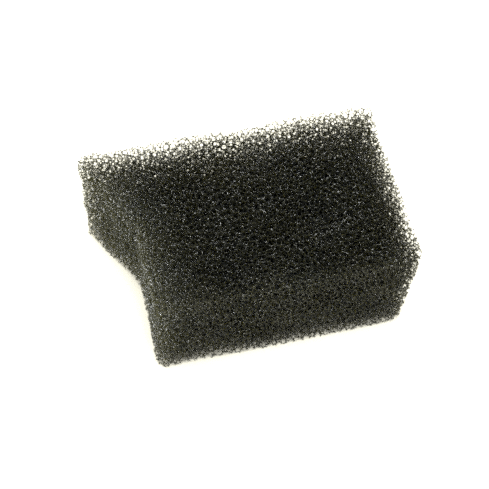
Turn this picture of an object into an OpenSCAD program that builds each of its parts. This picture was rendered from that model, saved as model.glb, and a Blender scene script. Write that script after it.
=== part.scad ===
// Foam air filter element for a small engine: one block of open-cell foam, cut from a slab.
// It lies on its underside with its long back face along +X.
// The right end is square. The left end reaches furthest at the back corner, slants in, and
// then runs straight to the front face, so that the block clears a step in its housing.
// Millimetres, +Z up, origin at the centre of the bounding box's underside.

/* [Foam block] */
// Overall length, along the back face
block_length = 70; // [55:0.5:90]
// Depth from the back face to the front face
block_depth = 42.7; // [34:0.1:50]
// Thickness of the slab that the block is cut from
block_height = 31; // [20:0.5:45]

/* [Set-back end] */
// How far the straight part is set back from the point where the slant would meet the back face
setback = 11.6; // [4:0.1:15]
// Length of the straight part, measured from the front face
straight_run = 22.2; // [15:0.1:28]

/* [Cut corners] */
// Radius of the upright outer corners, as the cutting die leaves them
corner_radius = 2.5; // [0.5:0.1:3]
// Radius of the hollow corner between the slanted and the straight part
hollow_radius = 8; // [1:0.5:10]

/* [Hidden] */
$fn = 96;

front_y = -block_depth / 2;
back_y = block_depth / 2;
right_x = block_length / 2;
bend_y = front_y + straight_run;

// The back left corner is sharp before it is rounded, and the arc takes some of its length.
slant_angle = atan2(back_y - bend_y, setback);
lost_to_arc = corner_radius / tan(slant_angle / 2) - corner_radius;
left_x = -block_length / 2 - lost_to_arc;
straight_x = left_x + setback;

// Upright corners, counter-clockwise: [point, radius, true where the corner is hollow].
CORNERS = [
    [[left_x, back_y], corner_radius, false],
    [[straight_x, bend_y], hollow_radius, true],
    [[straight_x, front_y], corner_radius, false],
    [[right_x, front_y], corner_radius, false],
    [[right_x, back_y], corner_radius, false]
];
CORNER_COUNT = len(CORNERS);

function corner_point(i) = CORNERS[(i + CORNER_COUNT) % CORNER_COUNT][0];
function unit(v) = v / norm(v);
function toward_previous(i) = unit(corner_point(i - 1) - corner_point(i));
function toward_next(i) = unit(corner_point(i + 1) - corner_point(i));
// Half the angle between the two sides that meet at corner i.
function half_angle(i) = acos(toward_previous(i) * toward_next(i)) / 2;
// Distance from corner i to where its arc touches each side.
function tangent_length(i) = CORNERS[i][1] / tan(half_angle(i));
function tangent_before(i) = corner_point(i) + toward_previous(i) * tangent_length(i);
function tangent_after(i) = corner_point(i) + toward_next(i) * tangent_length(i);
function arc_centre(i) =
    corner_point(i)
    + unit(toward_previous(i) + toward_next(i)) * CORNERS[i][1] / sin(half_angle(i));

// The circles that round the outer corners, or those that hollow the inner ones.
module corner_circles(hollow) {
    for (i = [0 : CORNER_COUNT - 1])
        if (CORNERS[i][2] == hollow)
            translate(arc_centre(i))
                circle(r = CORNERS[i][1]);
}

// The outline with each corner cut straight across between its two tangent points.
module straight_sides() {
    polygon([for (i = [0 : CORNER_COUNT - 1], side = [0, 1])
        side == 0 ? tangent_before(i) : tangent_after(i)]);
}

module outline() {
    difference() {
        union() {
            straight_sides();
            corner_circles(hollow = false);
        }
        corner_circles(hollow = true);
    }
}

module foam_element() {
    color([0.16, 0.16, 0.15])
        linear_extrude(height = block_height)
            outline();
}

foam_element();
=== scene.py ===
"""A small engine's foam air filter element: one block of charcoal open-cell foam on a white sheet.

The foam is built as foam is. Even, unordered cells fill a tile that repeats without a seam.
The edges between the cells are the foam's strands, and only those are made. Four strands meet
at each joint. The tile is turned, warped and repeated through the block, and the strands that
pass the block's faces are cut off there.
"""
import math
from itertools import combinations

import bpy
import numpy as np
from mathutils import Matrix, Vector


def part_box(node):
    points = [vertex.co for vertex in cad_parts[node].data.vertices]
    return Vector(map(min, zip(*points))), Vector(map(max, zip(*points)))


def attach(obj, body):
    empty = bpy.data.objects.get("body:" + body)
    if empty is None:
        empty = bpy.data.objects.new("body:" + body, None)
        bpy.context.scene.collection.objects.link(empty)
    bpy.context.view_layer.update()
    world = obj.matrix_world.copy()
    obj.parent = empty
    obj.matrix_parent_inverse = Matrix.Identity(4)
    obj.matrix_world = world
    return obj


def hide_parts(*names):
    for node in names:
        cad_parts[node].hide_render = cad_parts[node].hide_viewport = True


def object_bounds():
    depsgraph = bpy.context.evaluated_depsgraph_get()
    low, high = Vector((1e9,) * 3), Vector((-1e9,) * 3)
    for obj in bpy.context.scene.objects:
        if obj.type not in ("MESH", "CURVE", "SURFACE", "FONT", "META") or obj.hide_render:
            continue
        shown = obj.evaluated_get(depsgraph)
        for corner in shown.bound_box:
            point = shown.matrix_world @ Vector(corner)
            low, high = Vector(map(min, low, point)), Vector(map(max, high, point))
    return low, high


MM = 0.001                    # lengths are in metres, and MM makes them of millimetres
SEED = 7

# One repeating tile of cells. A cell is 1 wide here.
TILE = 6                      # cells along each side of the tile
EVENING_ROUNDS = 8            # how often each cell's seed moves to the middle of its cell
SAMPLES_PER_CELL = 160
BATCHES = 16                  # the samples are worked through in parts, to save memory
NEIGHBOURS = 32               # nearest seeds that can bound a cell
FARTHEST_CORNER = 2           # no corner of a cell is further than this from its seed
FLAT = 1e-9                   # seeds that span less volume than this have no corner between them
SLACK = 1e-7                  # for rounding, when squared distances are compared
ALIKE = 1e-5                  # corners of cells that are nearer than this are one joint
SETTLING_ROUNDS = 3           # how often each joint moves towards the middle of its neighbours
SETTLING_STEP = 0.5

# The tile in the block
CELL = 1.5 * MM               # width of a cell
TILE_TURN = (0.61, 0.37, 0.23)                      # about x, y and z, in radians
WARP = ((0.55 * MM, 19 * MM), (0.3 * MM, 9 * MM))   # how far and how long each warp wave is
WAVE_COUNT = 5                # sine waves that make up each warp

# Strands. Each is a three-sided bar, thick at its joints and thin at its waist.
STRAND_RADIUS = 0.09 * MM     # from its axis to its ridges, on the average
WAIST = 0.65                  # of STRAND_RADIUS, at the middle of a strand
ROOT = 1.35                   # of STRAND_RADIUS, at its ends
WAISTED_DEPTH = 1 * MM        # strands further inside keep one thickness
RADIUS_SPREAD = 0.18          # share by which the strands' thickness differs
MOST_OF_STRAND = 0.5          # the share of its shortest strand that a joint may take up
SHORTEST_STUB = 0.8           # of its joint's size, on a strand that is cut at a face

# The cut faces
RIM_RADIUS = 0.25 * MM        # the upper and lower rims are a little soft
CUT_WAVE = 0.15 * MM          # how far the knife wandered
CUT_LENGTH = 13 * MM          # over what length it wandered
STUB_SPREAD = 0.16 * MM       # how unevenly the strands were cut off

MOST_TRIANGLES = 190000       # in one piece of mesh

# Material
TONE_DRIFT = 9 * MM               # over what length the tone changes
COOL_BELOW, WARM_ABOVE = 0.35, 0.68                 # where the drift reaches each tone
COOL_TONE, WARM_TONE = (0.007, 0.01, 0.012), (0.016, 0.017, 0.014)
STRAND_ROUGHNESS = 0.3
THROUGH_TONE = (0.8, 0.76, 0.28)  # the tone of light that has come through a strand
THROUGH_SHARE = 0.17              # how much of a strand's light comes through it

# The sheet that the block lies on
SHEET_REACH = 0.9                 # to the front and the sides, and its height at the back
BEND_START = 0.45                 # how far behind the block it starts to bend up
BEND_RADIUS, BEND_STEPS = 0.3, 12
SHEET_TONE = (0.98, 0.935, 0.78)  # a warm white

# Light and camera. Bearings are in degrees round the block, 0 at the front and 90 on the right.
LIGHT_TONE = (0.98, 1.0, 1.02)    # a slightly cool white
SKY_STRENGTH = 0.7
CAMERA_BEARING, CAMERA_ELEVATION, CAMERA_ROLL = -18.0, 61.1, 5.13
CAMERA_DISTANCE, CAMERA_LENS = 266.7 * MM, 83.6
AIM = (-0.3 * MM, -1.1 * MM)      # where the camera looks, from the middle of the block

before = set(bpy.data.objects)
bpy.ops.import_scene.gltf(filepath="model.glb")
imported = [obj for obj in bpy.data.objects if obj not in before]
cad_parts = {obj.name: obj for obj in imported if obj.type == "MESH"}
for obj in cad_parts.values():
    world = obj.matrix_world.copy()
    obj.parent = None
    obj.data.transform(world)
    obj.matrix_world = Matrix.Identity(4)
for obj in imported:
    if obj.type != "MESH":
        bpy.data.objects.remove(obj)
scene = bpy.context.scene
cad_low, cad_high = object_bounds()
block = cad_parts["foam_element"]
block_low, block_high = (np.array(corner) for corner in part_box("foam_element"))
rng = np.random.default_rng(SEED)


# ---------------------------------------------------------------- one tile of cells

def wrapped(v):
    """The shortest of the steps that v stands for in a tile that repeats."""
    return v - TILE * np.round(v / TILE)


def even_seeds():
    """One seed a cell, each in the middle of the space that is nearest to it."""
    count = TILE ** 3
    seeds = rng.random((count, 3)) * TILE
    for _ in range(EVENING_ROUNDS):
        samples = rng.random((count * SAMPLES_PER_CELL, 3)) * TILE
        owner = np.empty(len(samples), int)
        for part in np.array_split(np.arange(len(samples)), BATCHES):
            step = wrapped(samples[part, None] - seeds[None])
            owner[part] = (step * step).sum(2).argmin(1)
        total = np.zeros_like(seeds)
        np.add.at(total, owner, wrapped(samples - seeds[owner]))
        seeds = seeds + total / np.maximum(np.bincount(owner, minlength=count), 1)[:, None]
    return seeds % TILE


def cell_corners(seeds, i, triples):
    """The corners of cell i as steps from its seed, and the neighbours that meet at each."""
    step = wrapped(seeds - seeds[i])
    near = np.argsort((step * step).sum(1))[1:NEIGHBOURS + 1]
    n = step[near]
    a, b, c = n[triples[:, 0]], n[triples[:, 1]], n[triples[:, 2]]
    bc = np.cross(b, c)
    volume = 2 * (a * bc).sum(1)
    volume[abs(volume) < FLAT] = FLAT
    corner = (
        (a * a).sum(1)[:, None] * bc
        + (b * b).sum(1)[:, None] * np.cross(c, a)
        + (c * c).sum(1)[:, None] * np.cross(a, b)
    ) / volume[:, None]
    reach = (corner * corner).sum(1)
    close = reach < FARTHEST_CORNER ** 2
    corner, reach, kept = corner[close], reach[close], triples[close]
    # A point is a corner if no other seed is nearer to it than the cell's own.
    gap = ((corner[:, None] - n[None]) ** 2).sum(2) - reach[:, None]
    real = gap.min(1) > -SLACK
    return corner[real], near[kept[real]]


def tile_network():
    """Joints of the tile, in cell widths, and strands as (joint, joint, whole tiles between)."""
    seeds = even_seeds()
    triples = np.array(list(combinations(range(NEIGHBOURS), 3)))
    places, owners = [], []
    for i in range(len(seeds)):
        corner, around = cell_corners(seeds, i, triples)
        places.append(seeds[i] + corner)
        owners.append(np.column_stack([np.full(len(corner), i), np.sort(around, axis=1)]))
    places, owners = np.concatenate(places), np.concatenate(owners)
    key = np.round(places / ALIKE).astype(np.int64) % round(TILE / ALIKE)
    _, first, joint_of = np.unique(key, axis=0, return_index=True, return_inverse=True)
    joint_of = joint_of.ravel()
    joints = places[first]
    # Two corners of a cell that share two neighbours are the ends of one strand.
    size = len(seeds)
    rows = []
    for one, two in ((1, 2), (1, 3), (2, 3)):
        rim = (owners[:, 0] * size + owners[:, one]) * size + owners[:, two]
        rows.append(np.column_stack([rim, np.arange(len(owners))]))
    rows = np.concatenate(rows)
    rows = rows[np.lexsort((rows[:, 1], rows[:, 0]))]
    pair = np.flatnonzero(rows[1:, 0] == rows[:-1, 0])
    start, end = rows[pair, 1], rows[pair + 1, 1]
    a, b = joint_of[start], joint_of[end]
    tiles = np.round(((places[end] - places[start]) - (joints[b] - joints[a])) / TILE)
    tiles = tiles.astype(int)
    backwards = a > b
    a[backwards], b[backwards] = b[backwards], a[backwards].copy()
    tiles[backwards] *= -1
    strands = np.unique(np.column_stack([a, b, tiles]), axis=0)
    return joints, strands


def settled(joints, strands):
    """The joints after each has been pulled towards its neighbours, as the wet foam's were."""
    for _ in range(SETTLING_ROUNDS):
        a, b, tiles = strands[:, 0], strands[:, 1], strands[:, 2:]
        pull = joints[b] + TILE * tiles - joints[a]
        moved = np.zeros_like(joints)
        np.add.at(moved, a, pull)
        np.add.at(moved, b, -pull)
        joints = joints + SETTLING_STEP / 4 * moved
    return joints


# ---------------------------------------------------------------- the block

def outline_of(obj):
    """The block's outline seen from above, in order. Each point of it can be seen from the middle."""
    co = np.array([v.co for v in obj.data.vertices])
    rim = np.unique(np.round(co[co[:, 2] < co[:, 2].min() + 0.01 * MM][:, :2], 7), axis=0)
    return rim[np.argsort(np.arctan2(rim[:, 1], rim[:, 0]))]


def beside(points, outline):
    """How far each point lies outside the outline, or less than 0 inside it."""
    nearest = np.full(len(points), np.inf)
    crossings = np.zeros(len(points), bool)
    for p, q in zip(outline, np.roll(outline, -1, axis=0), strict=True):
        side, step = q - p, points - p
        along = np.clip((step @ side) / (side @ side), 0, 1)
        off = step - along[:, None] * side
        nearest = np.minimum(nearest, (off * off).sum(1))
        spans = (p[1] > points[:, 1]) != (q[1] > points[:, 1])
        if side[1]:
            crossings ^= spans & (step[:, 0] < side[0] / side[1] * step[:, 1])
    return np.sqrt(nearest) * np.where(crossings, -1, 1)


def waves(points, reach, length, seed):
    """A smooth random step for each point, up to about reach long, that changes over length."""
    source = np.random.default_rng(seed)
    total = np.zeros((len(points), 3))
    for _ in range(WAVE_COUNT):
        heading = source.normal(size=3)
        heading /= np.linalg.norm(heading)
        phase = points @ heading * (2 * math.pi / length) + source.random() * 2 * math.pi
        total += np.sin(phase)[:, None] * source.normal(size=3)
    return total * reach / math.sqrt(WAVE_COUNT)


def depth_in_block(points):
    """How far each point lies inside the block, whose rims are a little round."""
    plan = beside(points[:, :2], outline_of(block)) + RIM_RADIUS
    middle, half = (block_low[2] + block_high[2]) / 2, (block_high[2] - block_low[2]) / 2
    upright = abs(points[:, 2] - middle) - half + RIM_RADIUS
    outside = np.hypot(plan.clip(0), upright.clip(0))
    depth = RIM_RADIUS - outside - np.minimum(np.maximum(plan, upright), 0)
    wander = waves(points, CUT_WAVE, CUT_LENGTH, SEED + 2)[:, 0]
    return depth + wander


def fill_block(joints, strands):
    """The tile repeated through the block: joints in metres, and the two joints of each strand."""
    turn = np.array(Matrix.Rotation(TILE_TURN[0], 3, "X") @ Matrix.Rotation(TILE_TURN[1], 3, "Y")
                    @ Matrix.Rotation(TILE_TURN[2], 3, "Z"))
    centre, side = (block_low + block_high) / 2, TILE * CELL
    reach = int(np.linalg.norm(block_high - block_low) / 2 / side) + 2
    steps = np.stack(np.meshgrid(*[np.arange(-reach, reach + 1)] * 3, indexing="ij"), -1)
    middles = centre + ((steps + 0.5) * side) @ turn.T
    margin = side * math.sqrt(3) / 2 + CELL
    needed = ((middles > block_low - margin) & (middles < block_high + margin)).all(-1)
    number = np.full(needed.shape, -1)
    number[needed] = np.arange(needed.sum())
    tiles = steps[needed]
    places = (joints[None] + TILE * tiles[:, None]).reshape(-1, 3) * CELL @ turn.T + centre
    for k, (far, length) in enumerate(WARP):
        places = places + waves(places, far, length, SEED + 10 + k)
    ends = []
    for a, b, *over in strands:
        there = tuple((tiles + reach + over).T)
        met = np.clip(np.array(there), 0, 2 * reach)
        other = np.where((met == np.array(there)).all(0), number[tuple(met)], -1)
        here = np.flatnonzero(other >= 0)
        ends.append(np.column_stack([here * len(joints) + a, other[here] * len(joints) + b]))
    return places, np.concatenate(ends)


# ---------------------------------------------------------------- strands as a mesh

PAIRS = np.array(list(combinations(range(4), 2)))
RING = np.array([[i for i, pair in enumerate(PAIRS) if slot in pair] for slot in range(4)])
THREES = list(combinations(range(4), 3))
CORNER_STEP = math.sqrt(3) / 2     # makes the corners of an even joint 1 from its middle
CORNER_REACH = math.sqrt(2 / 3)    # how far those corners are from a strand's axis


def unit(v):
    """The vectors of v, each made 1 long."""
    return v / np.maximum(np.linalg.norm(v, axis=-1, keepdims=True), 1e-12)


def across(points, centre, axis):
    """The parts of the steps from centre to points that lie across axis."""
    step = points - centre[:, None]
    return step - (step * axis[:, None]).sum(2, keepdims=True) * axis[:, None]


def turned_right(corners, numbers, axis):
    """The three corners' numbers, in the order that runs right-handed round axis."""
    facing = np.cross(corners[:, 1] - corners[:, 0], corners[:, 2] - corners[:, 0])
    wrong = (facing * axis).sum(1) < 0
    numbers = numbers.copy()
    numbers[wrong, 1], numbers[wrong, 2] = numbers[wrong, 2], numbers[wrong, 1].copy()
    return numbers


class Foam:
    """Corners and faces of joints and strands. A strand is a three-sided bar whose ridges run on
    round the cells' windows, so a joint has a corner for each of the six pairs of its strands."""

    def __init__(self, places, ends):
        self.corners, self.count = [], 0
        self.faces = {3: [], 4: []}       # by their number of corners
        self.along = {3: [], 4: []}       # where along the block each face belongs
        self.depth = depth_in_block(places)
        inside = self.depth > 0
        ends = ends[inside[ends].any(1)]
        leaving_first = ~inside[ends[:, 0]]
        ends[leaving_first] = ends[leaving_first][:, ::-1]
        self.places, self.ends, self.cut = places, ends, ~inside[ends[:, 1]]
        self.start = places[ends[:, 0]]
        self.length = np.linalg.norm(places[ends[:, 1]] - self.start, axis=1)
        self.axis = unit(places[ends[:, 1]] - self.start)
        spread = 1 + RADIUS_SPREAD * rng.uniform(-1, 1, len(ends))
        self.waist = STRAND_RADIUS * WAIST * spread
        self.add_joints()
        self.add_whole_strands(np.flatnonzero(~self.cut))
        self.add_cut_strands(np.flatnonzero(self.cut))

    def add_corners(self, points):
        """Adds rows of points and returns their numbers, in rows of the same shape."""
        numbers = self.count + np.arange(points.shape[0] * points.shape[1])
        self.corners.append(points.reshape(-1, 3))
        self.count += len(numbers)
        return numbers.reshape(points.shape[:2])

    def add_faces(self, faces, joint):
        """Adds faces of three or four corners, each with the joint that it belongs to."""
        sides = faces.shape[1]
        self.faces[sides].append(faces)
        self.along[sides].append(self.places[joint, 0])

    def add_tube(self, first, second, joint):
        """Adds the three sides between two rings of three corners."""
        for i in range(3):
            j = (i + 1) % 3
            sides = (first[:, i], first[:, j], second[:, j], second[:, i])
            self.add_faces(np.column_stack(sides), joint)

    def add_joints(self):
        """Adds a corner between every two of a joint's strands, a face between every three."""
        whole = ~self.cut
        ends = np.concatenate([self.ends[:, 0], self.ends[whole, 1]])
        others = np.concatenate([self.ends[:, 1], self.ends[whole, 0]])
        strand = np.concatenate([np.arange(len(self.ends)), np.flatnonzero(whole)])
        order = np.argsort(ends, kind="stable")
        ends, others, strand = ends[order], others[order], strand[order]
        joint = ends[::4]
        self.row = np.full(len(self.places), -1)
        self.row[joint] = np.arange(len(joint))
        # Each strand's slot at its joint, from 0 to 3, at its first and its second end
        slot = np.arange(len(ends)) % 4
        second = order >= len(self.ends)
        self.slots = np.zeros((len(self.ends), 2), int)
        self.slots[strand[~second], 0] = slot[~second]
        self.slots[strand[second], 1] = slot[second]
        middle = self.places[joint]
        heading = unit(self.places[others.reshape(-1, 4)] - middle[:, None])
        shortest = self.length[strand.reshape(-1, 4)].min(1)
        root = STRAND_RADIUS * np.where(self.depth[joint] < WAISTED_DEPTH, ROOT, 1)
        self.size = np.minimum(root / CORNER_REACH, MOST_OF_STRAND * shortest)
        step = (heading[:, PAIRS[:, 0]] + heading[:, PAIRS[:, 1]]) * CORNER_STEP
        self.joint_points = middle[:, None] + step * self.size[:, None, None]
        self.joint_corners = self.add_corners(self.joint_points)
        for three in THREES:
            left_out = ({0, 1, 2, 3} - set(three)).pop()
            rim = [i for i, pair in enumerate(PAIRS) if left_out not in pair]
            faces = turned_right(self.joint_points[:, rim], self.joint_corners[:, rim],
                                 -heading[:, left_out])
            self.add_faces(faces, joint)

    def ring(self, strands, end):
        """The three corners of the joint at one end of each strand, and where they lie."""
        row = self.row[self.ends[strands, end]][:, None]
        pick = RING[self.slots[strands, end]]
        points, numbers = self.joint_points[row, pick], self.joint_corners[row, pick]
        ordered = turned_right(points, numbers, self.axis[strands])
        return ordered, self.joint_points.reshape(-1, 3)[ordered]

    def add_whole_strands(self, whole):
        """Adds the strands from joint to joint. Those near the block's faces have a waist."""
        joint, u = self.ends[whole, 0], self.axis[whole]
        near_ring, near = self.ring(whole, 0)
        far_ring, far = self.ring(whole, 1)
        near_arm = unit(across(near, self.start[whole], u))
        far_arm = unit(across(far, self.start[whole], u))
        # The ring at the far end is turned to meet the ring at the near end with least twist.
        fit = np.stack([(near_arm * np.roll(far_arm, -turn, axis=1)).sum((1, 2))
                        for turn in range(3)], 1)
        order = (np.arange(3)[None] + fit.argmax(1)[:, None]) % 3
        far_ring = np.take_along_axis(far_ring, order, 1)
        far_arm = np.take_along_axis(far_arm, order[..., None], 1)
        waisted = self.depth[self.ends[whole]].min(1) < WAISTED_DEPTH
        middle = (near.mean(1) + far.mean(1)) / 2
        arm = unit(near_arm + far_arm) * self.waist[whole, None, None]
        waist_ring = self.add_corners((middle[:, None] + arm)[waisted])
        self.add_tube(near_ring[waisted], waist_ring, joint[waisted])
        self.add_tube(waist_ring, far_ring[waisted], joint[waisted])
        self.add_tube(near_ring[~waisted], far_ring[~waisted], joint[~waisted])

    def add_cut_strands(self, ends):
        """Adds the strands that pass a face of the block. Each ends in a flat cut there."""
        joint, start, u = self.ends[ends, 0], self.start[ends], self.axis[ends]
        near_ring, near = self.ring(ends, 0)
        inside, outside = self.depth[self.ends[ends]].T
        length = self.length[ends] * inside / (inside - outside)
        length += STUB_SPREAD * rng.uniform(-1, 1, len(ends))
        shortest = SHORTEST_STUB * self.size[self.row[joint]]
        length = np.clip(length, shortest, np.maximum(self.length[ends], shortest))
        arm = unit(across(near, start, u)) * self.waist[ends, None, None]
        tip = self.add_corners((start + u * length[:, None])[:, None] + arm)
        self.add_tube(near_ring, tip, joint)
        self.add_faces(tip, joint)

    def slices(self):
        """The mesh cut into even slices along the block: corners, and faces of 4 and of 3."""
        corners = np.concatenate(self.corners)
        faces = {sides: np.concatenate(self.faces[sides]) for sides in (4, 3)}
        along = {sides: np.concatenate(self.along[sides]) for sides in (4, 3)}
        order = np.sort(np.concatenate([along[4], along[4], along[3]]))
        count = math.ceil(len(order) / MOST_TRIANGLES)
        limits = order[np.linspace(0, len(order) - 1, count + 1).astype(int)][1:-1]
        part_of = {sides: np.searchsorted(limits, along[sides]) for sides in (4, 3)}
        for k in range(count):
            own = [faces[sides][part_of[sides] == k] for sides in (4, 3)]
            used, number = np.unique(np.concatenate([f.ravel() for f in own]),
                                     return_inverse=True)
            quads, triangles = np.split(number.ravel(), [own[0].size])
            yield corners[used], quads.reshape(-1, 4), triangles.reshape(-1, 3)


def mesh_of(name, corners, quads, triangles):
    """A smooth object of these corners, with faces of four corners and faces of three."""
    mesh = bpy.data.meshes.new(name)
    mesh.vertices.add(len(corners))
    mesh.vertices.foreach_set("co", corners.astype(np.float32).ravel())
    loops = np.concatenate([quads.ravel(), triangles.ravel()]).astype(np.int32)
    sizes = np.concatenate([np.full(len(quads), 4), np.full(len(triangles), 3)])
    starts = np.concatenate([[0], np.cumsum(sizes)[:-1]]).astype(np.int32)
    mesh.loops.add(len(loops))
    mesh.loops.foreach_set("vertex_index", loops)
    mesh.polygons.add(len(sizes))
    mesh.polygons.foreach_set("loop_start", starts)
    mesh.update(calc_edges=True)
    mesh.polygons.foreach_set("use_smooth", np.ones(len(sizes), bool))
    mesh.validate()
    piece = bpy.data.objects.new(name, mesh)
    scene.collection.objects.link(piece)
    return piece


# ---------------------------------------------------------------- material

def foam_material():
    """Charcoal polyurethane. Its tone drifts across the block, and some light comes through it."""
    material = bpy.data.materials.new("charcoal_foam")
    material.use_nodes = True
    nodes, links = material.node_tree.nodes, material.node_tree.links
    shader = nodes["Principled BSDF"]
    place = nodes.new("ShaderNodeTexCoord")
    drift = nodes.new("ShaderNodeTexNoise")
    drift.inputs["Scale"].default_value = 1 / TONE_DRIFT
    tone = nodes.new("ShaderNodeValToRGB")
    cool, warm = tone.color_ramp.elements
    cool.position, cool.color = COOL_BELOW, (*COOL_TONE, 1)
    warm.position, warm.color = WARM_ABOVE, (*WARM_TONE, 1)
    links.new(place.outputs["Object"], drift.inputs["Vector"])
    links.new(drift.outputs["Fac"], tone.inputs["Fac"])
    links.new(tone.outputs["Color"], shader.inputs["Base Color"])
    shader.inputs["Roughness"].default_value = STRAND_ROUGHNESS
    through = nodes.new("ShaderNodeBsdfTranslucent")
    through.inputs["Color"].default_value = (*THROUGH_TONE, 1)
    mix = nodes.new("ShaderNodeMixShader")
    mix.inputs["Fac"].default_value = THROUGH_SHARE
    links.new(shader.outputs["BSDF"], mix.inputs[1])
    links.new(through.outputs["BSDF"], mix.inputs[2])
    links.new(mix.outputs["Shader"], nodes["Material Output"].inputs["Surface"])
    return material


joints, strands = tile_network()
foam = Foam(*fill_block(settled(joints, strands), strands))
material = foam_material()
pieces = []
for number, part in enumerate(foam.slices(), start=1):
    piece = mesh_of(f"foam_slice_{number:02d}", *part)
    piece.data.materials.append(material)
    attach(piece, "root")
    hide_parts("foam_element")
    pieces.append(piece)


# ---------------------------------------------------------------- stage, light and camera

def look(obj, place, target, roll=0.0):
    """Puts obj at place, pointing at target, turned by roll about its own axis."""
    heading = (Vector(target) - Vector(place)).to_track_quat("-Z", "Y").to_matrix().to_4x4()
    obj.matrix_world = Matrix.Translation(place) @ heading @ Matrix.Rotation(roll, 4, "Z")


def direction(bearing, elevation):
    """The unit vector from the block towards something at a bearing and a height, in degrees."""
    turn, rise = math.radians(bearing), math.radians(elevation)
    return Vector((math.sin(turn) * math.cos(rise), -math.cos(turn) * math.cos(rise),
                   math.sin(rise)))


def group_of(name, members):
    """A collection of only these members, for a light that lights nothing else."""
    group = bpy.data.collections.new(name)
    for member in members:
        group.objects.link(member)
    return group


def softbox(name, bearing, elevation, distance, size, power, lit):
    """A soft light of power watts that points at the block and lights only the group lit. Its
    size is its width and its height."""
    lamp = bpy.data.lights.new(name, "AREA")
    lamp.shape = "RECTANGLE"
    lamp.size, lamp.size_y = size
    lamp.energy, lamp.color = power, LIGHT_TONE
    obj = bpy.data.objects.new(name, lamp)
    scene.collection.objects.link(obj)
    look(obj, middle + direction(bearing, elevation) * distance, middle)
    obj.light_linking.receiver_collection = lit


def table_top():
    """A wide white sheet that bends up at the back."""
    level = cad_low.z
    bends = [(-SHEET_REACH, level)]
    for k in range(BEND_STEPS + 1):
        a = k / BEND_STEPS * math.pi / 2
        y, z = BEND_START + BEND_RADIUS * math.sin(a), level + BEND_RADIUS * (1 - math.cos(a))
        bends.append((y, z))
    bends.append((BEND_START + BEND_RADIUS, level + SHEET_REACH))
    corners = [(x, y, z) for y, z in bends for x in (-SHEET_REACH, SHEET_REACH)]
    faces = [(2 * i, 2 * i + 1, 2 * i + 3, 2 * i + 2) for i in range(len(bends) - 1)]
    mesh = bpy.data.meshes.new("table_top")
    mesh.from_pydata(corners, [], faces)
    mesh.shade_smooth()
    top = bpy.data.objects.new("table_top", mesh)
    scene.collection.objects.link(top)
    paint = bpy.data.materials.new("white_sheet")
    paint.use_nodes = True
    shader = paint.node_tree.nodes["Principled BSDF"]
    shader.inputs["Base Color"].default_value = (*SHEET_TONE, 1)
    shader.inputs["Roughness"].default_value = 0.9
    shader.inputs["Specular IOR Level"].default_value = 0.2
    mesh.materials.append(paint)
    return top


middle = Vector((0, 0, (cad_low.z + cad_high.z) / 2))
foam_group = group_of("foam_group", pieces)
sheet_group = group_of("sheet_group", [table_top()])
scene.world = bpy.data.worlds.new("studio")
scene.world.use_nodes = True
sky = scene.world.node_tree.nodes["Background"]
sky.inputs["Color"].default_value = (*LIGHT_TONE, 1)
sky.inputs["Strength"].default_value = SKY_STRENGTH
softbox("back_light", bearing=162, elevation=24, distance=0.6,
        size=(0.14, 0.14), power=6.8, lit=foam_group)
# This one is as low as the block, so that it lights the block's end but not its top.
softbox("left_light", bearing=-85, elevation=0.5, distance=0.6,
        size=(0.3, 0.03), power=12.5, lit=foam_group)
softbox("sheet_light", bearing=-18, elevation=87, distance=0.8,
        size=(0.5, 0.5), power=10.5, lit=sheet_group)

camera = bpy.data.objects.new("camera", bpy.data.cameras.new("camera"))
scene.collection.objects.link(camera)
camera.data.lens = CAMERA_LENS
camera.data.clip_start, camera.data.clip_end = 0.01, 10
target = middle + Vector((*AIM, 0))
place = target + direction(CAMERA_BEARING, CAMERA_ELEVATION) * CAMERA_DISTANCE
look(camera, place, target, math.radians(CAMERA_ROLL))
scene.camera = camera
scene.view_settings.view_transform = "Standard"
scene.cycles.use_denoising = False      # the denoiser wipes the strands away
scene.cycles.filter_width = 1.8         # as soft as a lens shows strands this thin
